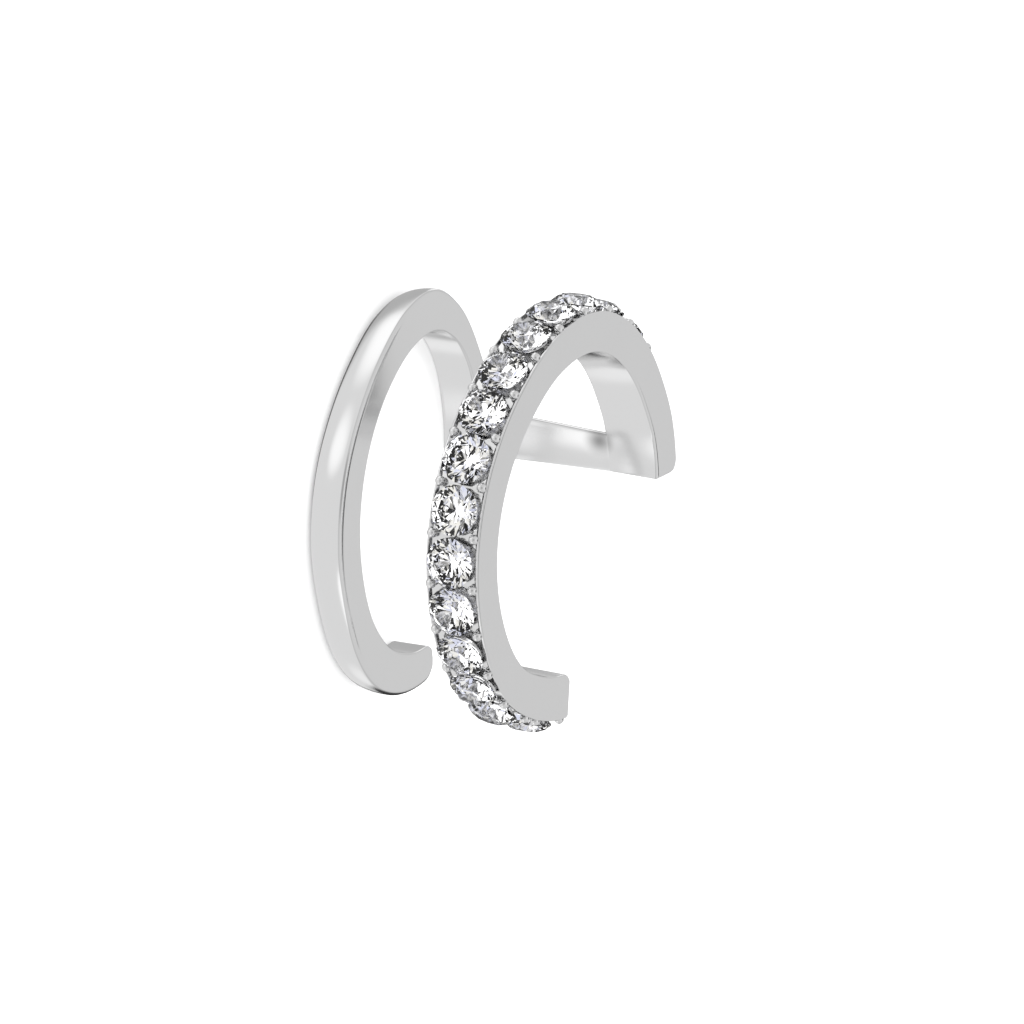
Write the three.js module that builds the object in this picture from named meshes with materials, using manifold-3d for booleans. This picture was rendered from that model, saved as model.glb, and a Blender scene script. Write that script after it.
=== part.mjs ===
// Ear cuff: a plain band and a band set with cut stones, joined by a crossbar at one end of their arcs.
// Millimetres, +Z up. The cuff lies on the outer side face of its plain band, and its mouth opens toward +Y.
// A turn is an angle along a band's arc in degrees, counted from 0 at the crossbar end.
import * as THREE from 'three';
import { mergeVertices } from 'three/addons/utils/BufferGeometryUtils.js';
import Module from 'manifold-3d';

const wasm = await Module();
wasm.setup();

// Turn 0 lies this many degrees from +X toward +Y, and the bands are sectioned every few degrees
const TURN_ZERO = 138;
const STATION_STEP = 6;

// Coordinates of the cast frame are rounded to this grid, so that its cuts leave no sliver edges
const GRID = 0.002;

// Plain band: arc, radii, width across the side faces, and how far its domed outside falls away to the floor,
// at most a share of the wall; near the tip, between two shares of the sweep, the dome grows fuller
// and the ridge rounder
const PLAIN_SWEEP = 281.5;
const PLAIN_OUTER = 5.7;
const PLAIN_INNER = 4.5;
const PLAIN_WIDTH = 1.22;
const PLAIN_DOME = 0.62;
const PLAIN_TIP_DOME = 0.34;
const PLAIN_RIDGE = 0.12;
const PLAIN_TIP_RIDGE = 0.28;
const DOME_LIMIT_SHARE = 0.6;
const TIP_FORM_FROM = 0.78;
const TIP_FORM_TO = 0.9;
const PLAIN_TIP_OUTER_CORNER = 0.7;
const PLAIN_TIP_INNER_CORNER = 0.22;

// Cut stones: round, with a table, and heights as shares of the diameter
const STONE_DIAMETER = 1.49;
const TABLE_SHARE = 0.57;
const CROWN_SHARE = 0.15;
const GIRDLE_SHARE = 0.025;
const PAVILION_SHARE = 0.43;
const STAR_SHARE = 0.8;
const LOWER_HALF_SHARE = 0.24;
const GIRDLE_SIDES = 16;

// Set band: arc, radii, and the width that a stone, its seat and two rims take up
const SET_SWEEP = 267;
const SET_OUTER = 6.0;
const SET_INNER = 4.79;
const SEAT_CLEARANCE = 0.04;
const SEAT_FLOOR_SHARE = 0.15;
const RIM_WALL = 0.06;
const SET_WIDTH = STONE_DIAMETER + 2 * (SEAT_CLEARANCE + RIM_WALL);
const SET_EDGE = 0.03;
const SET_TIP_OUTER_CORNER = 0.2;
const SET_TIP_INNER_CORNER = 0.4;

// Row of stones: the gap between two girdles, the wider gap beside the tip stone, how far the girdles stand
// above the band, the distance from the tip to the first stone, and the turn where the row stops
const STONE_GAP = 0.028;
const TIP_STONE_GAP = 0.72;
const GIRDLE_RISE = 0.14;
const TIP_TO_STONE = 1.04;
const ROW_STOP = 50;

// Beads of metal between the stones, along both rims
const GRAIN_RADIUS = 0.16;
const GRAIN_RISE = 0.03;
const GRAIN_INSET = 0.02;
const GRAIN_SIDES = 8;

// Set band over the plain band: clear height between them, its lean, and the shift of its centre,
// toward turn 0 and toward turn 90
const BAND_GAP = 3.44;
const SPLAY = 6.1;
const SHIFT_TO_CROSSBAR = -0.21;
const SHIFT_TO_TOP = -0.08;

// Crossbar: a strip of the same bore as the bands, wider at the plain band
const BAR_LENGTH_AT_SET = 1.2;
const BAR_LENGTH_AT_PLAIN = 1.5;
const BAR_THICKNESS = 0.8;
const BAR_EDGE = 0.16;
const BAR_SINK = 0.4;
const BAR_INSET = 0.03;
const BAR_ROOT_MARGIN = 0.1;

// Rounding of the inner edges and of the end faces at the crossbar
const EDGE = 0.07;
const END_OUTER_CORNER = 0.35;
const END_INNER_CORNER = 0.04;

// Out-of-round shape of each band: turn as a share of its sweep, radius as a share of its outer or inner one
const SET_OUTLINE = [
  [0, 1.015], [0.06, 0.998], [0.12, 0.981], [0.21, 0.996], [0.3, 1.016], [0.39, 1.002], [0.48, 0.984],
  [0.57, 0.995], [0.66, 1.005], [0.77, 1.005], [0.86, 1.012], [0.92, 1.001], [1, 1],
];
const SET_BORE = [
  [0, 1.019], [0.06, 0.998], [0.12, 0.976], [0.21, 0.995], [0.3, 1.02], [0.39, 1.003], [0.48, 0.98],
  [0.57, 0.994], [0.66, 1.006], [0.77, 1.006], [0.86, 1.013], [0.92, 0.99], [1, 0.97],
];
const PLAIN_OUTLINE = [
  [0, 0.985], [0.075, 0.955], [0.14, 0.945], [0.22, 1], [0.29, 1.05], [0.36, 1.03], [0.43, 0.992],
  [0.5, 0.988], [0.58, 1.008], [0.65, 1.008], [0.73, 0.998], [0.8, 1.027], [0.88, 1.065], [1, 1.085],
];
const PLAIN_BORE = [
  [0, 0.969], [0.075, 0.974], [0.14, 1.004], [0.22, 1.042], [0.28, 1.05], [0.36, 1.02], [0.43, 0.99],
  [0.53, 0.978], [0.64, 0.974], [0.72, 0.978], [0.79, 1.008], [0.86, 1.045], [0.93, 1.084], [1, 1.13],
];

const STEEL = { color: 0xd4d5d6, roughness: 0.12, metalness: 1 };
const STONE = { color: 0xf4f4f8, roughness: 0.03, metalness: 0 };

const radians = THREE.MathUtils.degToRad;

// Point of an arc about +Z, in the band's own plane
function arcPoint(turn, radius, height) {
  const angle = radians(TURN_ZERO + turn);
  return new THREE.Vector3(radius * Math.cos(angle), radius * Math.sin(angle), height);
}

// Smooth value between the rows of a table at a share of the sweep, with slopes from the neighbouring rows
function shareAt(table, at) {
  const last = table.length - 1;
  let row = 0;
  while (row < last - 1 && at > table[row + 1][0]) row++;
  const slope = (k) => {
    const before = table[Math.max(k - 1, 0)];
    const after = table[Math.min(k + 1, last)];
    return (after[1] - before[1]) / (after[0] - before[0]);
  };
  const [startAt, startShare] = table[row];
  const [endAt, endShare] = table[row + 1];
  const span = endAt - startAt;
  const t = (at - startAt) / span;
  return (2 * t ** 3 - 3 * t ** 2 + 1) * startShare + (t ** 3 - 2 * t ** 2 + t) * span * slope(row)
    + (3 * t ** 2 - 2 * t ** 3) * endShare + (t ** 3 - t ** 2) * span * slope(row + 1);
}

// How far a corner of the given radius has drawn in at a distance from the end face
function drawIn(distance, corner) {
  return distance >= corner ? 0 : corner - Math.sqrt(corner ** 2 - (corner - distance) ** 2);
}

// Turns at which a band is sectioned: even steps, and closer ones in the rounding of each end
function stationTurns(sweep, radius, startCorner, tipCorner) {
  const perMm = 180 / (Math.PI * radius);
  const bends = [0, 22.5, 45, 67.5, 90].map(radians);
  const cornerTurns = (corner) => bends.map((bend) => corner * (1 - Math.cos(bend)) * perMm);
  const starts = cornerTurns(startCorner);
  const ends = cornerTurns(tipCorner).map((turn) => sweep - turn).reverse();
  const from = starts.at(-1);
  const to = ends[0];
  const steps = Math.round((to - from) / STATION_STEP);
  const middle = Array.from({ length: steps - 1 }, (_, k) => from + (to - from) * (k + 1) / steps);
  return [...starts, ...middle, ...ends];
}

// Closed geometry through rings of points that all have the same number of points
function loft(rings) {
  const count = rings[0].length;
  const positions = rings.flat().flatMap((p) => [p.x, p.y, p.z]);
  const index = [];
  for (let i = 0; i + 1 < rings.length; i++) {
    for (let j = 0; j < count; j++) {
      const a = i * count + j;
      const b = i * count + (j + 1) % count;
      index.push(a, a + count, b + count, a, b + count, b);
    }
  }
  const end = (rings.length - 1) * count;
  for (let j = 1; j + 1 < count; j++) {
    index.push(0, j, j + 1, end, end + j + 1, end + j);
  }
  const geometry = new THREE.BufferGeometry();
  geometry.setAttribute('position', new THREE.Float32BufferAttribute(positions, 3));
  geometry.setIndex(index);
  return geometry;
}

// Manifold solid of a closed geometry
function solid(geometry) {
  const bare = geometry.clone();
  bare.deleteAttribute('normal');
  bare.deleteAttribute('uv');
  const merged = mergeVertices(bare, 1e-5);
  return new wasm.Manifold(new wasm.Mesh({
    numProp: 3,
    vertProperties: new Float32Array(merged.attributes.position.array),
    triVerts: new Uint32Array(merged.index.array),
  }));
}

// Geometry of a manifold solid, on the grid: triangles that the rounding folds flat are dropped
function geometryOf(body) {
  const { vertProperties, triVerts } = body.getMesh();
  const rounded = Array.from(vertProperties, (value) => Math.round(value / GRID) * GRID);
  const raw = new THREE.BufferGeometry();
  raw.setAttribute('position', new THREE.Float32BufferAttribute(rounded, 3));
  raw.setIndex(Array.from(triVerts));
  const geometry = mergeVertices(raw, GRID / 2);
  const index = [];
  for (let i = 0; i < geometry.index.count; i += 3) {
    const [a, b, c] = [0, 1, 2].map((k) => geometry.index.getX(i + k));
    if (a !== b && b !== c && c !== a) index.push(a, b, c);
  }
  geometry.setIndex(index);
  geometry.computeVertexNormals();
  return geometry;
}

const plainOuterAt = (turn) => PLAIN_OUTER * shareAt(PLAIN_OUTLINE, turn / PLAIN_SWEEP);
const plainInnerAt = (turn) => PLAIN_INNER * shareAt(PLAIN_BORE, turn / PLAIN_SWEEP);
const setOuterAt = (turn) => SET_OUTER * shareAt(SET_OUTLINE, turn / SET_SWEEP);
const setInnerAt = (turn) => SET_INNER * shareAt(SET_BORE, turn / SET_SWEEP);

// Section of the plain band: a flat bore and side faces, a rounded ridge on top and a dome down to the floor
function plainProfile(outer, inner, inset, dome, ridge) {
  const low = inset;
  const high = PLAIN_WIDTH - inset;
  const fall = Math.min(dome, (outer - inner) * DOME_LIMIT_SHARE);
  const points = [[inner + EDGE, low]];
  for (const angle of [0, 18, 36, 54, 72, 90].map(radians)) {
    points.push([outer - fall * (1 - Math.sin(angle)), low + (high - ridge - low) * (1 - Math.cos(angle))]);
  }
  for (const angle of [45, 90].map(radians)) {
    points.push([outer - ridge * (1 - Math.cos(angle)), high - ridge * (1 - Math.sin(angle))]);
  }
  points.push([inner + EDGE, high], [inner, high - EDGE], [inner, low + EDGE]);
  return points;
}

function plainBand() {
  const turns = stationTurns(PLAIN_SWEEP, PLAIN_OUTER, END_OUTER_CORNER, PLAIN_TIP_OUTER_CORNER);
  return solid(loft(turns.map((turn) => {
    const fromStart = radians(turn) * PLAIN_OUTER;
    const fromTip = radians(PLAIN_SWEEP - turn) * PLAIN_OUTER;
    const outer = plainOuterAt(turn) - drawIn(fromStart, END_OUTER_CORNER)
      - drawIn(fromTip, PLAIN_TIP_OUTER_CORNER);
    const inner = plainInnerAt(turn) + drawIn(fromStart, END_INNER_CORNER)
      + drawIn(fromTip, PLAIN_TIP_INNER_CORNER);
    const inset = drawIn(fromStart, EDGE) + drawIn(fromTip, EDGE);
    const nearTip = THREE.MathUtils.smoothstep(turn / PLAIN_SWEEP, TIP_FORM_FROM, TIP_FORM_TO);
    const dome = THREE.MathUtils.lerp(PLAIN_DOME, PLAIN_TIP_DOME, nearTip);
    const ridge = THREE.MathUtils.lerp(PLAIN_RIDGE, PLAIN_TIP_RIDGE, nearTip);
    return plainProfile(outer, inner, inset, dome, ridge).map(([r, z]) => arcPoint(turn, r, z));
  })));
}

// Section of the set band, about its own middle plane
function setProfile(outer, inner, inset) {
  const half = SET_WIDTH / 2 - inset;
  return [
    [inner + EDGE, -half], [outer - SET_EDGE, -half], [outer, SET_EDGE - half], [outer, half - SET_EDGE],
    [outer - SET_EDGE, half], [inner + EDGE, half], [inner, half - EDGE], [inner, EDGE - half],
  ];
}

function setBand() {
  return solid(loft(stationTurns(SET_SWEEP, SET_OUTER, END_OUTER_CORNER, SET_TIP_INNER_CORNER).map((turn) => {
    const fromStart = radians(turn) * SET_OUTER;
    const fromTip = radians(SET_SWEEP - turn) * SET_OUTER;
    const outer = setOuterAt(turn) - drawIn(fromStart, END_OUTER_CORNER)
      - drawIn(fromTip, SET_TIP_OUTER_CORNER);
    const inner = setInnerAt(turn) + drawIn(fromStart, END_INNER_CORNER)
      + drawIn(fromTip, SET_TIP_INNER_CORNER);
    const inset = drawIn(fromStart, EDGE) + drawIn(fromTip, EDGE);
    return setProfile(outer, inner, inset).map(([r, z]) => arcPoint(turn, r, z));
  })));
}

// Where the set band stands: leaning back about the line through its centre at turn 90
function setBandPlace() {
  const centre = arcPoint(0, SHIFT_TO_CROSSBAR, PLAIN_WIDTH + BAND_GAP + SET_WIDTH / 2)
    .add(arcPoint(90, SHIFT_TO_TOP, 0));
  return new THREE.Matrix4().makeRotationAxis(arcPoint(90, 1, 0), -radians(SPLAY)).setPosition(centre);
}

// Outline of the crossbar at a height of one band, seen along its axis: flat on the bore, domed outside
function barRing(innerAt, length, margin, height, place) {
  const middle = length / 2;
  const reach = middle - margin;
  const inset = BAR_INSET + margin;
  const outline = [[middle - reach, inset], [middle, inset], [middle + reach, inset]];
  for (const angle of [0, 36, 72, 108, 144, 180].map(radians)) {
    const dome = (BAR_THICKNESS - BAR_EDGE) * Math.sin(angle);
    outline.push([middle + reach * Math.cos(angle), inset + BAR_EDGE + dome - 2 * margin * Math.sin(angle)]);
  }
  return outline.map(([arc, depth]) => {
    const turn = THREE.MathUtils.radToDeg(arc / (innerAt(0) + depth));
    return arcPoint(turn, innerAt(turn) + depth, height).applyMatrix4(place);
  });
}

// Crossbar from face to face of the two bands, with roots inside each band that are a little slimmer
function crossbar(place) {
  const flat = new THREE.Matrix4();
  const setFace = -SET_WIDTH / 2;
  return solid(loft([
    barRing(plainInnerAt, BAR_LENGTH_AT_PLAIN, BAR_ROOT_MARGIN, PLAIN_WIDTH - BAR_SINK, flat),
    barRing(plainInnerAt, BAR_LENGTH_AT_PLAIN, 0, PLAIN_WIDTH, flat),
    barRing(setInnerAt, BAR_LENGTH_AT_SET, 0, setFace, place),
    barRing(setInnerAt, BAR_LENGTH_AT_SET, BAR_ROOT_MARGIN, setFace + BAR_SINK, place),
  ]));
}

// Turns of the stones' centres, from the tip back to the last one before the crossbar
function stoneTurns() {
  const girdle = SET_OUTER + GIRDLE_RISE;
  const chordTurn = (chord) => 2 * THREE.MathUtils.radToDeg(Math.asin(chord / 2 / girdle));
  const tip = SET_SWEEP - THREE.MathUtils.radToDeg(TIP_TO_STONE / SET_OUTER);
  const turns = [tip];
  const pitch = chordTurn(STONE_DIAMETER + STONE_GAP);
  for (let turn = tip - chordTurn(STONE_DIAMETER + TIP_STONE_GAP); turn > ROW_STOP; turn -= pitch) {
    turns.push(turn);
  }
  return turns;
}

// Turns of the grains: half a pitch to each side of every stone, once where two stones share them
function grainTurns(turns) {
  const half = (turns[1] - turns[2]) / 2;
  const before = turns.slice(1).map((turn) => turn + half);
  return [turns[0] + half, turns[0] - half, ...before, turns.at(-1) - half];
}

// Frame on the set band with +Z out along the radius and +X along the band's axis
function onSetBand(turn, radius) {
  const out = arcPoint(turn, 1, 0);
  const axis = new THREE.Vector3(0, 0, 1);
  return new THREE.Matrix4().makeBasis(axis, new THREE.Vector3().crossVectors(out, axis), out)
    .setPosition(arcPoint(turn, radius, 0));
}

// Lathe about +Z of a profile of [radius, height] that starts and ends on the axis
function lathe(profile, sides) {
  const points = profile.map(([r, z]) => new THREE.Vector2(r, z));
  return new THREE.LatheGeometry(points, sides).rotateX(Math.PI / 2);
}

// Cutter for a seat: a cone under the stone and a round well around its girdle
function seatCutter() {
  const radius = STONE_DIAMETER / 2 + SEAT_CLEARANCE;
  const pavilion = STONE_DIAMETER * PAVILION_SHARE;
  const slope = pavilion / (STONE_DIAMETER / 2);
  const below = STONE_DIAMETER * GIRDLE_SHARE / 2 + SEAT_CLEARANCE;
  const floorRadius = radius * SEAT_FLOOR_SHARE;
  const floor = -below - (radius - floorRadius) * slope;
  const top = STONE_DIAMETER / 2;
  return lathe([[0, floor], [floorRadius, floor], [radius, -below], [radius, top], [0, top]], GIRDLE_SIDES);
}

function grain() {
  return new THREE.SphereGeometry(GRAIN_RADIUS, GRAIN_SIDES, GRAIN_SIDES / 2).rotateX(Math.PI / 2);
}

// Metal of the cuff: both bands and the crossbar cast in one, with the seats cut and the grains raised
function castFrame(place, turns) {
  const cutter = seatCutter();
  const seats = turns.map((turn) => solid(cutter.clone().applyMatrix4(
    onSetBand(turn, setOuterAt(turn) + GIRDLE_RISE))));
  const beside = SET_WIDTH / 2 - GRAIN_RADIUS - GRAIN_INSET;
  const grains = grainTurns(turns).flatMap((turn) => [-beside, beside].map((across) => solid(
    grain().translate(across, 0, 0).applyMatrix4(onSetBand(turn, setOuterAt(turn) + GRAIN_RISE)))));
  let set = setBand();
  for (const seat of seats) set = set.subtract(seat);
  for (const bead of grains) set = set.add(bead);
  return plainBand().add(crossbar(place)).add(set.transform(place.elements));
}

// Round brilliant cut, girdle in the XY plane, table toward +Z, with flats of the girdle along X and Y
function brilliant() {
  const radius = STONE_DIAMETER / 2;
  const halfGirdle = STONE_DIAMETER * GIRDLE_SHARE / 2;
  const crown = STONE_DIAMETER * CROWN_SHARE;
  const pavilion = STONE_DIAMETER * PAVILION_SHARE;
  const half = Math.cos(Math.PI / 8);
  const side = 360 / GIRDLE_SIDES;
  const ring = (share, height, count, sidesOn) => Array.from({ length: count }, (_, k) => {
    const angle = radians(side * (0.5 + sidesOn) + k * 360 / count);
    return new THREE.Vector3(radius * share * Math.cos(angle), radius * share * Math.sin(angle), height);
  });
  const starRise = crown * (1 - STAR_SHARE * half) / (1 - TABLE_SHARE);
  const lowerDrop = pavilion * (1 - LOWER_HALF_SHARE * half);
  const table = ring(TABLE_SHARE, halfGirdle + crown, 8, 0);
  const star = ring(STAR_SHARE, halfGirdle + starRise, 8, 1);
  const top = ring(1, halfGirdle, GIRDLE_SIDES, 0);
  const bottom = ring(1, -halfGirdle, GIRDLE_SIDES, 0);
  const lower = ring(LOWER_HALF_SHARE, -halfGirdle - lowerDrop, 8, 1);
  const culet = new THREE.Vector3(0, 0, -halfGirdle - pavilion);
  const triangles = [];
  for (let k = 0; k < 8; k++) {
    const next = (k + 1) % 8;
    const before = (k + 7) % 8;
    const corner = 2 * k;
    const middle = corner + 1;
    const after = (corner + 2) % GIRDLE_SIDES;
    if (k > 0 && k < 7) triangles.push(table[0], table[k], table[next]);
    triangles.push(table[k], star[k], table[next]);
    triangles.push(table[k], top[corner], star[k], table[k], star[before], top[corner]);
    triangles.push(star[k], top[corner], top[middle], star[k], top[middle], top[after]);
    for (const [from, to] of [[corner, middle], [middle, after]]) {
      triangles.push(top[from], bottom[from], bottom[to], top[from], bottom[to], top[to]);
    }
    triangles.push(lower[k], bottom[middle], bottom[corner], lower[k], bottom[after], bottom[middle]);
    triangles.push(culet, lower[k], bottom[corner], culet, bottom[corner], lower[before]);
  }
  const geometry = new THREE.BufferGeometry().setFromPoints(triangles);
  geometry.computeVertexNormals();
  return geometry;
}

function cuff() {
  const group = new THREE.Group();
  const turns = stoneTurns();
  const place = setBandPlace();
  const frame = new THREE.Mesh(geometryOf(castFrame(place, turns)), new THREE.MeshStandardMaterial(STEEL));
  frame.name = 'cuff_frame';
  group.add(frame);

  const row = new THREE.Group();
  row.applyMatrix4(place);
  const cut = brilliant();
  turns.forEach((turn, k) => {
    const stone = new THREE.Mesh(cut, new THREE.MeshStandardMaterial(STONE));
    stone.name = `stone_${String(k + 1).padStart(2, '0')}`;
    stone.applyMatrix4(onSetBand(turn, setOuterAt(turn) + GIRDLE_RISE));
    row.add(stone);
  });
  group.add(row);

  // Origin under the middle of the whole cuff
  const box = new THREE.Box3().setFromObject(group);
  const middle = box.getCenter(new THREE.Vector3());
  group.position.set(-middle.x, -middle.y, -box.min.z);
  return group;
}

export default cuff();
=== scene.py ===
"""Looks of an ear cuff: polished plated metal and clear brilliant-cut stones, lying on a pale floor."""
import math

import bpy
from mathutils import Matrix, Vector

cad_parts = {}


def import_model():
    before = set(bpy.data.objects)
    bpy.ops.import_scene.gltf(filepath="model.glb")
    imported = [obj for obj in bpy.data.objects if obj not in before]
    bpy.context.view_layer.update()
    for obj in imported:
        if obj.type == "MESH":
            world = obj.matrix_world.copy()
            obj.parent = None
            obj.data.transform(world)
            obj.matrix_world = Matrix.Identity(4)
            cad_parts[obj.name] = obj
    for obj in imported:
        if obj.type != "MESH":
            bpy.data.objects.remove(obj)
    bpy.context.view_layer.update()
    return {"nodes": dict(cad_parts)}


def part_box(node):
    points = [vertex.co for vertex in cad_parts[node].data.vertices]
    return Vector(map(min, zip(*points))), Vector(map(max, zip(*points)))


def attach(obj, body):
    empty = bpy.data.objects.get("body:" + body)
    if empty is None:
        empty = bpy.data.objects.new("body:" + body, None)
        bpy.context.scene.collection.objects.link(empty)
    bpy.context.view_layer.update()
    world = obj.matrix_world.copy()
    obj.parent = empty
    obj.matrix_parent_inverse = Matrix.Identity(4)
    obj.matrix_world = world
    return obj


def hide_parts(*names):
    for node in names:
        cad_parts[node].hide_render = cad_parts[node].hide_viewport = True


MM = 0.001

# Bands in mm as in the solids, with arcs in degrees from the crossbar end
TURN_ZERO = 138.0
PLAIN_SWEEP, PLAIN_OUTER, PLAIN_INNER, PLAIN_WIDTH = 281.5, 5.7, 4.5, 1.22
PLAIN_DOME, PLAIN_TIP_DOME = 0.62, 0.34
SET_SWEEP, SET_OUTER, SET_INNER = 267.0, 6.0, 4.79
STONE_DIAMETER, SEAT_CLEARANCE, RIM_WALL = 1.49, 0.04, 0.06
SET_WIDTH = STONE_DIAMETER + 2 * (SEAT_CLEARANCE + RIM_WALL)
SET_EDGE, SET_TIP_OUTER_CORNER, SET_TIP_INNER_CORNER, END_INNER_CORNER = 0.03, 0.2, 0.4, 0.04
BAND_GAP, SPLAY, SHIFT_TO_CROSSBAR, SHIFT_TO_TOP = 3.44, 6.1, -0.21, -0.08

# Stones, seats, beads and crossbar in mm as in the solids
PAVILION_SHARE, GIRDLE_SHARE, SEAT_FLOOR_SHARE = 0.43, 0.025, 0.15
STONE_GAP, TIP_STONE_GAP, GIRDLE_RISE, TIP_TO_STONE, ROW_STOP = 0.028, 0.72, 0.14, 1.04, 50.0
GRAIN_RISE, GRAIN_INSET = 0.03, 0.02
BAR_LENGTH_AT_SET, BAR_LENGTH_AT_PLAIN, BAR_THICKNESS = 1.2, 1.5, 0.8
BAR_EDGE, BAR_SINK, BAR_ROOT_MARGIN = 0.16, 0.4, 0.1

# Roundings and beads in mm, with values of their own beside the solids'
EDGE, END_OUTER_CORNER, GRAIN_RADIUS = 0.09, 0.42, 0.15
PLAIN_RIDGE, PLAIN_TIP_RIDGE = 0.14, 0.22
PLAIN_TIP_OUTER_CORNER, PLAIN_TIP_INNER_CORNER = 0.55, 0.34

# Plain band's limits as shares of its thickness, and where on its arc the form of the tip comes in
DOME_LIMIT_SHARE, RIDGE_LIMIT_SHARE = 0.55, 0.4
TIP_FORM_FROM, TIP_FORM_TO = 0.7, 0.95

# Crossbar's rounding, its inset from the bore, and how deep it runs into the bands before it narrows, in mm
BAR_ROUND, BAR_INSET, BAR_FLUSH_DEPTH, BAR_FLUSH_MARGIN = 0.03, 0.006, 0.14, 0.004

# Channel between the rims of the set band in mm, with its run-out at both ends of the row in degrees
RIM_TOP, RIM_BEVEL, CHANNEL_DEPTH = 0.03, 0.08, 0.07
CHANNEL_RUN_OUT, CHANNEL_TIP_REST = 4.0, 2.0

# Outlines by share of sweep and share of radius; most rows come from a curve fitted to the photo
SET_OUTLINE = [
    (0, 1.015), (0.06, 0.998), (0.12, 0.981), (0.21, 0.996), (0.3, 1.016), (0.39, 1.002), (0.48, 0.984),
    (0.57, 0.995), (0.66, 1.005), (0.77, 1.005), (0.86, 1.012), (0.92, 1.001), (1, 1),
]
SET_BORE = [
    (0, 1.019), (0.06, 0.998), (0.12, 0.976), (0.21, 0.995), (0.3, 1.02), (0.39, 1.003), (0.48, 0.98),
    (0.57, 0.994), (0.66, 1.006), (0.77, 1.006), (0.86, 1.013), (0.92, 0.99), (1, 0.97),
]
PLAIN_OUTLINE = [
    (0, 0.985), (0.075, 0.955), (0.14, 0.945), (0.22, 1), (0.29, 1.05), (0.36, 1.03), (0.43, 0.992),
    (0.5, 0.988), (0.58, 1.008), (0.65, 1.008), (0.73, 0.998), (0.8, 1.027), (0.88, 1.065), (1, 1.085),
]
PLAIN_BORE = [
    (0, 0.969), (0.075, 0.974), (0.14, 1.004), (0.22, 1.042), (0.28, 1.05), (0.36, 1.02), (0.43, 0.99),
    (0.53, 0.978), (0.64, 0.974), (0.72, 0.978), (0.79, 1.008), (0.86, 1.045), (0.93, 1.084), (1, 1.13),
]

# Fineness of the meshes: degrees between sections, then steps and sides of roundings and turned forms
STATION_STEP = 1.5
ROUND_STEPS, END_STEPS, SET_EDGE_STEPS, DOME_STEPS = 6, 8, 3, 20
BAR_SECTIONS, BAR_BORE_STEPS, BAR_ROUND_STEPS, BAR_DOME_STEPS = 12, 4, 4, 24
SEAT_SIDES, GRAIN_SIDES = 64, 24
TENT_SEGMENTS, TENT_RINGS = 64, 32

# Distances in mm of lines that keep faces beside a rounding flat, and the steepest smooth edge in degrees
HOLD, HOLD_AT_FLOOR, HOLD_AT_DOME = 0.03, 0.05, 0.08
SHARP_ANGLE = 32

# Materials: levels of grey, roughness from low to high, and the scale and detail of their clouds
# The second level is painted shade: near-black metal on the seats' walls beside the stones
PLATING_LEVEL, PAINTED_SHADE_LEVEL, METAL_BLUE = 0.87, 0.05, 0.002
METAL_ROUGHNESS, METAL_CLOUDS, METAL_CLOUD_DETAIL = (0.12, 0.18), 900, 3
RIPPLE_SCALE, RIPPLE_DETAIL, RIPPLE_STRENGTH = 4000, 2, 0.02
STONE_COLOR, STONE_MIRROR, STONE_INDEX = (0.99, 0.99, 1.0, 1), (0.25, 0.25, 0.25, 1), 2.15
STONE_ROUGHNESS, STONE_CLOUDS, STONE_CLOUD_DETAIL = (0.0, 0.02), 2500, 2
FLOOR_COLOR, FLOOR_ROUGHNESS = (0.93, 0.93, 0.93, 1), 0.9

# Painted shade, a soft dark spot on the crossbar's root: its place in the bands' own frame, its reach in mm
# and its level
BAR_ROOT, BAR_ROOT_SHADE_SPREAD, BAR_ROOT_SHADE_LEVEL = (-4.0, 2.41, 4.96), 0.6, 0.28

# Places of the colours in a mixing node, where names stand for its plain numbers
MIX_COLOR_A, MIX_COLOR_B, MIX_COLOR_RESULT = 6, 7, 2

# Camera in mm in the bands' own frame, from the same fit: target, offset of the aim, axes, distance and lens
LOOK_AT = (0.276, -0.1388, 6.339)
LOOK_RIGHT = 1.9514
LOOK_UP = 0.1852
CAMERA_BACK = (0.47435, -0.80343, 0.35989)
CAMERA_UP = (-0.82752, -0.54640, -0.12911)
CAMERA_DISTANCE = 200.2
CAMERA_LENS = 241.77
SENSOR = 36.0

# In metres: the floor's half side, the metal's ripple, and the camera's nearest and farthest sight
FLOOR_HALF, RIPPLE_HEIGHT = 2.0, 0.00002
CLIP_START, CLIP_END = 0.01, 10

# Light from above and all round: direction, angle in degrees, strength, and level of the surroundings
SUN_FROM, SUN_ANGLE, SUN_STRENGTH = (0.1, -0.2, 1), 110, 2.1
WORLD_LEVEL = 1.2

# What the metal mirrors: elevations with levels, then patches as direction, inner and outer angle, and level
TENT_RADIUS = 90.0
TENT_BANDS = [(-90, 0.77), (-9, 0.77), (-3, 0.55), (4, 0.55), (12, 0.67), (40, 0.67), (60, 0.75), (90, 0.9)]
TENT_PATCHES = [
    ((-146, -28), 4, 26, 1.14), ((-88, -44), 3, 20, 1.1), ((-59, 20), 12, 28, 0.4), ((120, 64), 12, 24, 0.1),
    ((155, -34), 14, 32, 0.47), ((154, -15), 4, 9, 1.15), ((10, -13), 6, 17, 1.15), ((71, -23), 4, 13, 0.92),
    ((91, -11), 10, 18, 0.03), ((134, -48), 6, 16, 0.08), ((113, -16), 12, 18, 0.03),
]

# What shows through the stones: its level, its dark clouds, patches as above, and tints by place in the ramp
STONE_LIGHT, CLOUD_SCALE, CLOUD_DETAIL, CLOUD_EDGE = 0.96, 8.0, 1, (0.46, 0.545)
STONE_PATCHES = [((8, 16), 20, 44, 0.9), ((121, -21), 95, 125, 0.94)]
TINT_SCALE, TINT_DETAIL = 3.1, 2
STONE_TINTS = [(0.4, (0.8, 0.83, 1.0, 1)), (0.5, (1.0, 1.0, 1.0, 1)), (0.62, (1.0, 0.98, 0.91, 1))]


def arc_point(turn, radius, height):
    angle = math.radians(TURN_ZERO + turn)
    return Vector((radius * math.cos(angle), radius * math.sin(angle), height))


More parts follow.
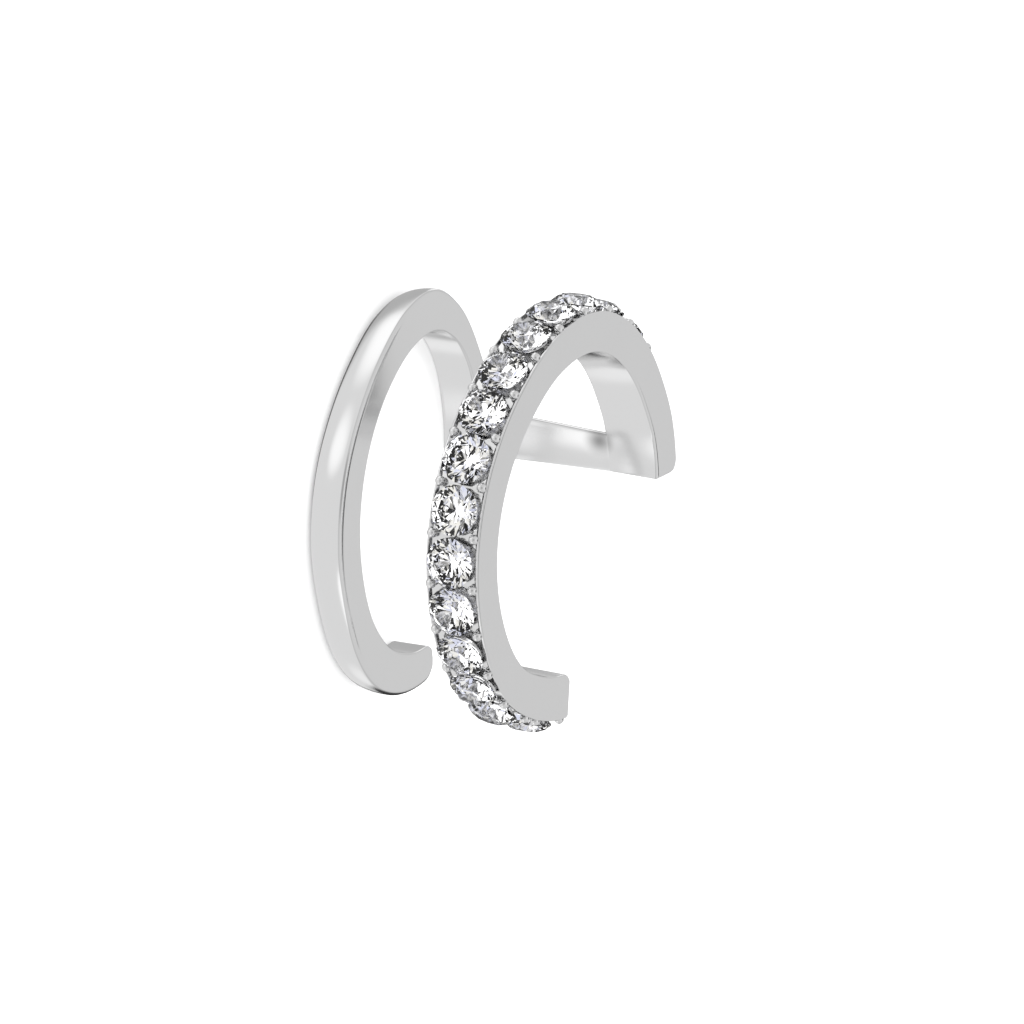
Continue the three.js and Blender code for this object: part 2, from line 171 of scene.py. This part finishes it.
def share_at(table, at):
    """Smooth value between the rows of a table, with slopes from the neighbouring rows."""
    last = len(table) - 1
    row = 0
    while row < last - 1 and at > table[row + 1][0]:
        row += 1

    def slope(k):
        before, after = table[max(k - 1, 0)], table[min(k + 1, last)]
        return (after[1] - before[1]) / (after[0] - before[0])

    span = table[row + 1][0] - table[row][0]
    t = (at - table[row][0]) / span
    return ((2 * t ** 3 - 3 * t ** 2 + 1) * table[row][1] + (t ** 3 - 2 * t ** 2 + t) * span * slope(row)
            + (3 * t ** 2 - 2 * t ** 3) * table[row + 1][1] + (t ** 3 - t ** 2) * span * slope(row + 1))


def smoothstep(value, low, high):
    t = min(max((value - low) / (high - low), 0.0), 1.0)
    return t * t * (3 - 2 * t)


def mix(a, b, t):
    return a + (b - a) * t


def draw_in(distance, corner):
    """How far a rounded corner has drawn in at a distance from the end face."""
    return 0.0 if distance >= corner else corner - math.sqrt(corner ** 2 - (corner - distance) ** 2)


def ends_draw_in(turn, sweep, radius, start_corner, tip_corner):
    """How far the rounded corners at both ends of a band draw a surface in at a turn."""
    return (draw_in(math.radians(turn) * radius, start_corner)
            + draw_in(math.radians(sweep - turn) * radius, tip_corner))


def plain_outer(turn):
    return PLAIN_OUTER * share_at(PLAIN_OUTLINE, turn / PLAIN_SWEEP)


def plain_inner(turn):
    return PLAIN_INNER * share_at(PLAIN_BORE, turn / PLAIN_SWEEP)


def set_outer(turn):
    return SET_OUTER * share_at(SET_OUTLINE, turn / SET_SWEEP)


def set_inner(turn):
    return SET_INNER * share_at(SET_BORE, turn / SET_SWEEP)


def bend(steps=ROUND_STEPS):
    """Angles from 0 to 90 degrees, in radians."""
    return [math.pi / 2 * k / steps for k in range(steps + 1)]


def station_turns(sweep, radius, start_corner, tip_corner):
    """Turns at which a band is sectioned: even steps, and closer ones in the rounding of each end."""
    per_mm = math.degrees(1 / radius)
    starts = [start_corner * (1 - math.cos(a)) * per_mm for a in bend(END_STEPS)]
    ends = [sweep - tip_corner * (1 - math.cos(a)) * per_mm for a in reversed(bend(END_STEPS))]
    steps = round((ends[0] - starts[-1]) / STATION_STEP)
    middle = [mix(starts[-1], ends[0], k / steps) for k in range(1, steps)]
    return starts + middle + ends


def mesh_object(name, vertices, faces):
    mesh = bpy.data.meshes.new(name)
    mesh.from_pydata([tuple(v) for v in vertices], [], faces)
    mesh.update()
    made = bpy.data.objects.new(name, mesh)
    bpy.context.scene.collection.objects.link(made)
    return made


def loft(name, rings):
    """Closed mesh through rings that all have the same number of points."""
    count = len(rings[0])
    vertices = [p for ring in rings for p in ring]
    faces = []
    for i in range(len(rings) - 1):
        for j in range(count):
            a, b = i * count + j, i * count + (j + 1) % count
            faces.append((a, a + count, b + count, b))
    end = (len(rings) - 1) * count
    faces.append(tuple(range(count)))
    faces.append(tuple(end + j for j in reversed(range(count))))
    return mesh_object(name, vertices, faces)


def plain_profile(outer, inner, inset, dome, ridge):
    """Flat bore and side faces, a rounded ridge on top and a dome down to the floor."""
    low, high = inset, PLAIN_WIDTH - inset
    fall = min(dome, (outer - inner) * DOME_LIMIT_SHARE)
    ridge = min(ridge, (outer - inner) * RIDGE_LIMIT_SHARE)
    points = [(inner + EDGE, low), (inner + EDGE + HOLD_AT_FLOOR, low), (outer - fall - HOLD_AT_DOME, low)]
    for a in bend(DOME_STEPS):
        points.append((outer - fall * (1 - math.sin(a)), low + (high - ridge - low) * (1 - math.cos(a))))
    for a in bend()[1:]:
        points.append((outer - ridge * (1 - math.cos(a)), high - ridge * (1 - math.sin(a))))
    points += [(outer - ridge - HOLD, high), (inner + EDGE + HOLD, high)]
    points += [(inner + EDGE * (1 - math.sin(a)), high - EDGE * (1 - math.cos(a))) for a in bend()]
    points += [(inner, high - EDGE - HOLD), (inner, low + EDGE + HOLD)]
    points += [(inner + EDGE * (1 - math.cos(a)), low + EDGE * (1 - math.sin(a))) for a in bend()[:-1]]
    return points


def plain_band():
    rings = []
    for turn in station_turns(PLAIN_SWEEP, PLAIN_OUTER, END_OUTER_CORNER, PLAIN_TIP_OUTER_CORNER):
        arc = (turn, PLAIN_SWEEP, PLAIN_OUTER)
        outer = plain_outer(turn) - ends_draw_in(*arc, END_OUTER_CORNER, PLAIN_TIP_OUTER_CORNER)
        inner = plain_inner(turn) + ends_draw_in(*arc, END_INNER_CORNER, PLAIN_TIP_INNER_CORNER)
        near_tip = smoothstep(turn / PLAIN_SWEEP, TIP_FORM_FROM, TIP_FORM_TO)
        profile = plain_profile(outer, inner, ends_draw_in(*arc, EDGE, EDGE),
                                mix(PLAIN_DOME, PLAIN_TIP_DOME, near_tip),
                                mix(PLAIN_RIDGE, PLAIN_TIP_RIDGE, near_tip))
        rings.append([arc_point(turn, r, z) for r, z in profile])
    return loft("plain_band", rings)


def set_profile(outer, inner, inset, channel):
    """Rounded bore edges, flat side faces, and two rims with a channel between them."""
    half = SET_WIDTH / 2 - inset
    side = [(inner + EDGE * (1 - math.sin(a)), half - EDGE * (1 - math.cos(a))) for a in reversed(bend())]
    side += [(inner + EDGE + HOLD, half), (outer - SET_EDGE - HOLD, half)]
    side += [(outer - SET_EDGE * (1 - math.sin(a)), half - SET_EDGE * (1 - math.cos(a)))
             for a in bend(SET_EDGE_STEPS)]
    rim = half - SET_EDGE - RIM_TOP
    side += [(outer, rim), (outer - channel, rim - RIM_BEVEL)]
    return side + [(r, -z) for r, z in reversed(side)]


def stone_turns():
    """Turns of the stones, from the free tip to the last one before the crossbar."""
    girdle = SET_OUTER + GIRDLE_RISE

    def chord_turn(chord):
        return 2 * math.degrees(math.asin(chord / 2 / girdle))

    turns = [SET_SWEEP - math.degrees(TIP_TO_STONE / SET_OUTER)]
    turn = turns[0] - chord_turn(STONE_DIAMETER + TIP_STONE_GAP)
    while turn > ROW_STOP:
        turns.append(turn)
        turn -= chord_turn(STONE_DIAMETER + STONE_GAP)
    return turns


def set_band(row_end):
    """Band with its channel running out past the last stone of the row and before the free tip."""
    rings = []
    for turn in station_turns(SET_SWEEP, SET_OUTER, END_OUTER_CORNER, SET_TIP_INNER_CORNER):
        arc = (turn, SET_SWEEP, SET_OUTER)
        outer = set_outer(turn) - ends_draw_in(*arc, END_OUTER_CORNER, SET_TIP_OUTER_CORNER)
        inner = set_inner(turn) + ends_draw_in(*arc, END_INNER_CORNER, SET_TIP_INNER_CORNER)
        channel = CHANNEL_DEPTH * smoothstep(turn, row_end - CHANNEL_RUN_OUT, row_end)
        channel *= smoothstep(SET_SWEEP - turn, CHANNEL_TIP_REST, CHANNEL_TIP_REST + CHANNEL_RUN_OUT)
        profile = set_profile(outer, inner, ends_draw_in(*arc, EDGE, EDGE), channel)
        rings.append([arc_point(turn, r, z) for r, z in profile])
    return loft("set_band", rings)


def set_band_place():
    """Where the set band stands: leaning back about the line through its centre at turn 90."""
    centre = (arc_point(0, SHIFT_TO_CROSSBAR, PLAIN_WIDTH + BAND_GAP + SET_WIDTH / 2)
              + arc_point(90, SHIFT_TO_TOP, 0))
    lean = Matrix.Rotation(-math.radians(SPLAY), 4, arc_point(90, 1, 0))
    return Matrix.Translation(centre) @ lean


def bar_ring(inner_at, length, margin, height, place):
    """Outline of the crossbar at a height, drawn back by a margin: flat on the bore and domed outside."""
    middle = length / 2
    reach = middle - margin
    inset = BAR_INSET + margin
    outline = [(middle + (reach - BAR_ROUND) * k / BAR_BORE_STEPS, inset)
               for k in range(-BAR_BORE_STEPS, BAR_BORE_STEPS + 1)]
    rounding = [(BAR_ROUND * (1 - math.sin(a)), inset + BAR_ROUND * (1 - math.cos(a)))
                for a in bend(BAR_ROUND_STEPS)[1:]]
    outline += [(middle + reach - back, depth) for back, depth in rounding]
    for k in range(BAR_DOME_STEPS + 1):
        a = math.pi * k / BAR_DOME_STEPS
        dome = (BAR_THICKNESS - BAR_EDGE) * math.sin(a)
        outline.append((middle + reach * math.cos(a), inset + BAR_EDGE + dome - 2 * margin * math.sin(a)))
    outline += [(middle - reach + back, depth) for back, depth in reversed(rounding)]
    ring = []
    for arc, depth in outline:
        turn = math.degrees(arc / (inner_at(0) + depth))
        ring.append(place @ arc_point(turn, inner_at(max(turn, 0.0)) + depth, height))
    return ring


def crossbar(place):
    """Crossbar from face to face of the bands, going on at full section into each before it narrows."""
    flat = Matrix.Identity(4)
    face = -SET_WIDTH / 2
    ends = [bar_ring(plain_inner, BAR_LENGTH_AT_PLAIN, 0, PLAIN_WIDTH, flat),
            bar_ring(set_inner, BAR_LENGTH_AT_SET, 0, face, place)]
    between = [[a.lerp(b, k / BAR_SECTIONS) for a, b in zip(*ends)] for k in range(BAR_SECTIONS + 1)]
    return loft("crossbar", [
        bar_ring(plain_inner, BAR_LENGTH_AT_PLAIN, BAR_ROOT_MARGIN, PLAIN_WIDTH - BAR_SINK, flat),
        bar_ring(plain_inner, BAR_LENGTH_AT_PLAIN, BAR_FLUSH_MARGIN, PLAIN_WIDTH - BAR_FLUSH_DEPTH, flat),
        *between,
        bar_ring(set_inner, BAR_LENGTH_AT_SET, BAR_FLUSH_MARGIN, face + BAR_FLUSH_DEPTH, place),
        bar_ring(set_inner, BAR_LENGTH_AT_SET, BAR_ROOT_MARGIN, face + BAR_SINK, place),
    ])


def on_set_band(turn, radius):
    """Frame on the set band with +Z out along the radius and +X along the band's axis."""
    out = arc_point(turn, 1, 0)
    axis = Vector((0, 0, 1))
    across = out.cross(axis)
    basis = Matrix((axis, across, out)).transposed().to_4x4()
    return Matrix.Translation(arc_point(turn, radius, 0)) @ basis


def lathe(name, profile, sides, place):
    """Closed mesh turned about +Z from a profile that starts and ends on the axis."""
    around = [2 * math.pi * k / sides for k in range(sides)]
    rings = [[place @ Vector((r * math.cos(a), r * math.sin(a), z)) for a in around]
             for r, z in profile[1:-1]]
    vertices = [p for ring in rings for p in ring]
    faces = []
    for i in range(len(rings) - 1):
        for j in range(sides):
            a, b = i * sides + j, i * sides + (j + 1) % sides
            faces.append((a, b, b + sides, a + sides))
    low, high = len(vertices), len(vertices) + 1
    vertices += [place @ Vector((0, 0, profile[0][1])), place @ Vector((0, 0, profile[-1][1]))]
    last = (len(rings) - 1) * sides
    for j in range(sides):
        faces.append((low, (j + 1) % sides, j))
        faces.append((high, last + j, last + (j + 1) % sides))
    return mesh_object(name, vertices, faces)


def seat_cutter(turn, plating, painted_shade):
    """Cone below the girdle and a round wall above it, which alone has the near-black metal that paints
    shade beside the stones.
    """
    radius = STONE_DIAMETER / 2 + SEAT_CLEARANCE
    slope = 2 * PAVILION_SHARE
    below = STONE_DIAMETER * GIRDLE_SHARE / 2 + SEAT_CLEARANCE
    floor_radius = radius * SEAT_FLOOR_SHARE
    floor = -below - (radius - floor_radius) * slope
    top = STONE_DIAMETER / 2
    profile = [(0, floor), (floor_radius, floor), (radius, -below), (radius, top), (0, top)]
    made = lathe("seat", profile, SEAT_SIDES, on_set_band(turn, set_outer(turn) + GIRDLE_RISE))
    made.data.materials.append(plating)
    made.data.materials.append(painted_shade)
    # Painted shade: the seat's round wall gets the near-black metal
    for face in made.data.polygons[SEAT_SIDES:2 * SEAT_SIDES]:
        face.material_index = 1
    return made


def grain(turn, across, plating):
    """Round bead of metal on the set band, beside its middle line."""
    steps = GRAIN_SIDES // 2
    profile = [(0, -GRAIN_RADIUS)]
    profile += [(GRAIN_RADIUS * math.sin(a), -GRAIN_RADIUS * math.cos(a))
                for a in (math.pi * k / steps for k in range(1, steps))]
    profile += [(0, GRAIN_RADIUS)]
    place = on_set_band(turn, set_outer(turn) + GRAIN_RISE) @ Matrix.Translation((across, 0, 0))
    made = lathe("grain", profile, GRAIN_SIDES, place)
    made.data.materials.append(plating)
    return made


def cut(target, tool, operation):
    """Joins or cuts one mesh by another, and removes the tool."""
    modifier = target.modifiers.new("cut", "BOOLEAN")
    modifier.operation = operation
    modifier.solver = "MANIFOLD"
    modifier.material_mode = "TRANSFER"
    modifier.object = tool
    bpy.context.view_layer.objects.active = target
    with bpy.context.temp_override(object=target, active_object=target):
        bpy.ops.object.modifier_apply(modifier=modifier.name)
    bpy.data.objects.remove(tool)


def cuff_metal(plating, painted_shade):
    """Both bands and the crossbar as one body, with the seats cut and the beads raised."""
    turns = stone_turns()
    place = set_band_place()
    half_pitch = (turns[1] - turns[2]) / 2
    row_end = turns[-1] - half_pitch
    bead_turns = [turns[0] + half_pitch, turns[0] - half_pitch]
    bead_turns += [turn + half_pitch for turn in turns[1:]] + [row_end]
    beside = SET_WIDTH / 2 - GRAIN_RADIUS - GRAIN_INSET
    band = set_band(row_end)
    band.data.materials.append(plating)
    for turn in turns:
        cut(band, seat_cutter(turn, plating, painted_shade), "DIFFERENCE")
    for turn in bead_turns:
        for across in (-beside, beside):
            cut(band, grain(turn, across, plating), "UNION")
    band.data.transform(place)
    body, bar = plain_band(), crossbar(place)
    body.data.materials.append(plating)
    bar.data.materials.append(plating)
    cut(body, bar, "UNION")
    cut(body, band, "UNION")
    body.name = body.data.name = "cuff_metal"
    return body


def finish_mesh(made):
    """Smooth shading with crisp edges where faces meet at an angle."""
    made.data.shade_smooth()
    made.data.set_sharp_from_angle(angle=math.radians(SHARP_ANGLE))
    weighted = made.modifiers.new("weighted_normals", "WEIGHTED_NORMAL")
    weighted.mode = "FACE_AREA"
    weighted.keep_sharp = True


def material(name):
    made = bpy.data.materials.new(name)
    made.use_nodes = True
    nodes, links = made.node_tree.nodes, made.node_tree.links
    return made, nodes, links, nodes["Principled BSDF"]


def noise(nodes, links, place, scale, detail):
    """Soft noise over the places that an output gives, and its factor."""
    made = nodes.new("ShaderNodeTexNoise")
    made.inputs["Scale"].default_value = scale
    made.inputs["Detail"].default_value = detail
    links.new(place, made.inputs["Vector"])
    return made.outputs["Fac"]


def clouded_roughness(nodes, links, shader, clouds, span):
    """Roughness that drifts between two values with the clouds."""
    spread = nodes.new("ShaderNodeMapRange")
    spread.inputs["To Min"].default_value = span[0]
    spread.inputs["To Max"].default_value = span[1]
    links.new(clouds, spread.inputs["Value"])
    links.new(spread.outputs["Result"], shader.inputs["Roughness"])


def polished_metal(name, level):
    """Mirror-bright metal with a faint drift of its roughness and a very faint ripple."""
    made, nodes, links, shader = material(name)
    shader.inputs["Base Color"].default_value = (level, level, level + METAL_BLUE, 1)
    shader.inputs["Metallic"].default_value = 1.0
    place = nodes.new("ShaderNodeTexCoord").outputs["Object"]
    clouds = noise(nodes, links, place, METAL_CLOUDS, METAL_CLOUD_DETAIL)
    clouded_roughness(nodes, links, shader, clouds, METAL_ROUGHNESS)
    bump = nodes.new("ShaderNodeBump")
    bump.inputs["Strength"].default_value = RIPPLE_STRENGTH
    bump.inputs["Distance"].default_value = RIPPLE_HEIGHT
    links.new(noise(nodes, links, place, RIPPLE_SCALE, RIPPLE_DETAIL), bump.inputs["Height"])
    links.new(bump.outputs["Normal"], shader.inputs["Normal"])
    return made


def paint_root_shade(finish, root):
    """Paints shade into the metal's colour: it fades to a soft dark spot round the crossbar's root."""
    nodes, links = finish.node_tree.nodes, finish.node_tree.links
    shader, place = nodes["Principled BSDF"], nodes["Texture Coordinate"]
    apart = nodes.new("ShaderNodeVectorMath")
    apart.operation = "DISTANCE"
    apart.inputs[1].default_value = root
    links.new(place.outputs["Object"], apart.inputs[0])
    fade = nodes.new("ShaderNodeMapRange")
    fade.interpolation_type = "SMOOTHSTEP"
    fade.inputs["From Max"].default_value = BAR_ROOT_SHADE_SPREAD * MM
    links.new(apart.outputs["Value"], fade.inputs["Value"])
    tone = nodes.new("ShaderNodeMix")
    tone.data_type = "RGBA"
    tone.inputs[MIX_COLOR_A].default_value = (BAR_ROOT_SHADE_LEVEL, BAR_ROOT_SHADE_LEVEL, BAR_ROOT_SHADE_LEVEL, 1)
    tone.inputs[MIX_COLOR_B].default_value = shader.inputs["Base Color"].default_value
    links.new(fade.outputs["Result"], tone.inputs["Factor"])
    links.new(tone.outputs[MIX_COLOR_RESULT], shader.inputs["Base Color"])


def clear_stone():
    made, nodes, links, shader = material("clear_stone")
    shader.inputs["Base Color"].default_value = STONE_COLOR
    shader.inputs["Transmission Weight"].default_value = 1.0
    shader.inputs["IOR"].default_value = STONE_INDEX
    shader.inputs["Specular Tint"].default_value = STONE_MIRROR
    place = nodes.new("ShaderNodeTexCoord").outputs["Object"]
    clouds = noise(nodes, links, place, STONE_CLOUDS, STONE_CLOUD_DETAIL)
    clouded_roughness(nodes, links, shader, clouds, STONE_ROUGHNESS)
    return made


def pale_floor():
    """Plain floor that the metal does not mirror."""
    made, nodes, links, shader = material("pale_floor")
    shader.inputs["Base Color"].default_value = FLOOR_COLOR
    shader.inputs["Roughness"].default_value = FLOOR_ROUGHNESS
    half = FLOOR_HALF
    floor = mesh_object("floor", [(-half, -half, 0), (half, -half, 0), (half, half, 0), (-half, half, 0)],
                        [(0, 1, 2, 3)])
    floor.data.materials.append(made)
    floor.visible_glossy = False


def only_seen_by(made, rays):
    """Leaves a sphere of light to one kind of rays."""
    made.visible_camera = False
    made.visible_diffuse = False
    made.visible_glossy = rays == "glossy"
    made.visible_transmission = rays == "transmission"
    made.visible_shadow = False
    made.visible_volume_scatter = False


def direction(azimuth, elevation):
    a, e = math.radians(azimuth), math.radians(elevation)
    return Vector((math.cos(a) * math.cos(e), math.sin(a) * math.cos(e), math.sin(e)))


def tent(name, middle, rays):
    """Sphere of light round the cuff for one kind of rays, and the direction in which a point of it lies."""
    bpy.ops.mesh.primitive_uv_sphere_add(segments=TENT_SEGMENTS, ring_count=TENT_RINGS,
                                         radius=TENT_RADIUS * MM, location=middle)
    made = bpy.context.object
    made.name = name
    finish, nodes, links, shader = material(name)
    nodes.remove(shader)
    light = nodes.new("ShaderNodeEmission")
    links.new(light.outputs["Emission"], nodes["Material Output"].inputs["Surface"])
    finish.cycles.emission_sampling = "NONE"
    made.data.materials.append(finish)
    only_seen_by(made, rays)
    place = nodes.new("ShaderNodeTexCoord")
    way = nodes.new("ShaderNodeVectorMath")
    way.operation = "NORMALIZE"
    links.new(place.outputs["Object"], way.inputs[0])
    return nodes, links, light, way.outputs["Vector"]


def color_ramp(nodes, links, value, stops):
    """Colour that follows a value through stops in rising order."""
    made = nodes.new("ShaderNodeValToRGB")
    elements = made.color_ramp.elements
    while len(elements) < len(stops):
        elements.new(1.0)
    for element, (position, color) in zip(elements, stops):
        element.position = position
        element.color = color
    links.new(value, made.inputs["Fac"])
    return made.outputs["Color"]


def patch(nodes, links, way, level, towards, inner, outer, value):
    """Fades a level to a value in a soft round patch of the tent, inner and outer in degrees."""
    near = nodes.new("ShaderNodeVectorMath")
    near.operation = "DOT_PRODUCT"
    near.inputs[1].default_value = direction(*towards)
    links.new(way, near.inputs[0])
    fade = nodes.new("ShaderNodeMapRange")
    fade.interpolation_type = "SMOOTHSTEP"
    fade.inputs["From Min"].default_value = math.cos(math.radians(outer))
    fade.inputs["From Max"].default_value = math.cos(math.radians(inner))
    links.new(near.outputs["Value"], fade.inputs["Value"])
    both = nodes.new("ShaderNodeMix")
    both.data_type = "FLOAT"
    both.inputs["B"].default_value = value
    links.new(fade.outputs["Result"], both.inputs["Factor"])
    links.new(level, both.inputs["A"])
    return both.outputs["Result"]


def metal_tent(middle):
    """What the metal mirrors: bands of light by height, and soft patches."""
    nodes, links, light, way = tent("metal_tent", middle, "glossy")
    height = nodes.new("ShaderNodeSeparateXYZ")
    links.new(way, height.inputs["Vector"])
    share = nodes.new("ShaderNodeMapRange")
    share.inputs["From Min"].default_value = -1
    links.new(height.outputs["Z"], share.inputs["Value"])
    level = color_ramp(nodes, links, share.outputs["Result"],
                       [((math.sin(math.radians(elevation)) + 1) / 2, (value, value, value, 1))
                        for elevation, value in TENT_BANDS])
    for towards, inner, outer, value in TENT_PATCHES:
        level = patch(nodes, links, way, level, towards, inner, outer, value)
    links.new(level, light.inputs["Strength"])


def stone_tent(middle):
    """What shows through the stones: bright beyond the cuff, with dark clouds toward the camera."""
    nodes, links, light, way = tent("stone_tent", middle, "transmission")
    clouds = nodes.new("ShaderNodeMapRange")
    clouds.interpolation_type = "SMOOTHSTEP"
    clouds.inputs["From Min"].default_value = CLOUD_EDGE[0]
    clouds.inputs["From Max"].default_value = CLOUD_EDGE[1]
    clouds.inputs["To Max"].default_value = STONE_LIGHT
    links.new(noise(nodes, links, way, CLOUD_SCALE, CLOUD_DETAIL), clouds.inputs["Value"])
    level = clouds.outputs["Result"]
    for towards, inner, outer, value in STONE_PATCHES:
        level = patch(nodes, links, way, level, towards, inner, outer, value)
    links.new(level, light.inputs["Strength"])
    hues = noise(nodes, links, way, TINT_SCALE, TINT_DETAIL)
    links.new(color_ramp(nodes, links, hues, STONE_TINTS), light.inputs["Color"])


def sun():
    """Very soft lamp from above that neither the metal nor the stones show."""
    data = bpy.data.lights.new("overhead", "SUN")
    data.angle = math.radians(SUN_ANGLE)
    data.energy = SUN_STRENGTH
    lamp = bpy.data.objects.new("overhead", data)
    bpy.context.scene.collection.objects.link(lamp)
    lamp.rotation_mode = "QUATERNION"
    lamp.rotation_quaternion = Vector(SUN_FROM).normalized().to_track_quat("Z", "Y")
    lamp.visible_glossy = False
    lamp.visible_transmission = False


def world():
    made = bpy.data.worlds.new("studio")
    made.use_nodes = True
    back = made.node_tree.nodes["Background"]
    back.inputs["Color"].default_value = (1, 1, 1, 1)
    back.inputs["Strength"].default_value = WORLD_LEVEL
    bpy.context.scene.world = made


def camera(shift):
    """Camera beside the line to its target, so that the cuff lies in the picture where the photo has it."""
    back, up = Vector(CAMERA_BACK), Vector(CAMERA_UP)
    right = up.cross(back)
    target = Vector(LOOK_AT) + shift
    place = target + back * CAMERA_DISTANCE
    aim = target - right * LOOK_RIGHT + up * LOOK_UP
    back = (place - aim).normalized()
    right = up.cross(back).normalized()
    up = back.cross(right)
    data = bpy.data.cameras.new("camera")
    data.lens = CAMERA_LENS
    data.sensor_width = SENSOR
    data.clip_start = CLIP_START
    data.clip_end = CLIP_END
    made = bpy.data.objects.new("camera", data)
    bpy.context.scene.collection.objects.link(made)
    made.matrix_world = Matrix.Translation(place * MM) @ Matrix((right, up, back)).transposed().to_4x4()
    bpy.context.scene.camera = made


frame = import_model()

# Shift from the bands' own frame to the shared one, in mm, from the box of the cast metal
plating = polished_metal("polished_plating", PLATING_LEVEL)
# Near-black metal that paints shade on the seats' walls
painted_shade = polished_metal("seat_painted_shade", PAINTED_SHADE_LEVEL)
metal = cuff_metal(plating, painted_shade)
low = Vector([min(v.co[axis] for v in metal.data.vertices) for axis in range(3)])
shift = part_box("cuff_frame")[0] / MM - low
shift.z = 0
# Painted shade: a soft dark spot in the metal's colour round the crossbar's root
paint_root_shade(plating, (Vector(BAR_ROOT) + shift) * MM)
camera(shift)
metal.data.transform(Matrix.Scale(MM, 4) @ Matrix.Translation(shift))
finish_mesh(metal)
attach(metal, "root")
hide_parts("cuff_frame")

glass = clear_stone()
for name, node in frame["nodes"].items():
    if name.startswith("stone_"):
        node.data.materials.clear()
        node.data.materials.append(glass)
        node.data.shade_flat()

pale_floor()
world()
sun()
middle = (Vector(LOOK_AT) + shift) * MM
metal_tent(middle)
stone_tent(middle)
bpy.context.scene.view_settings.view_transform = "Standard"
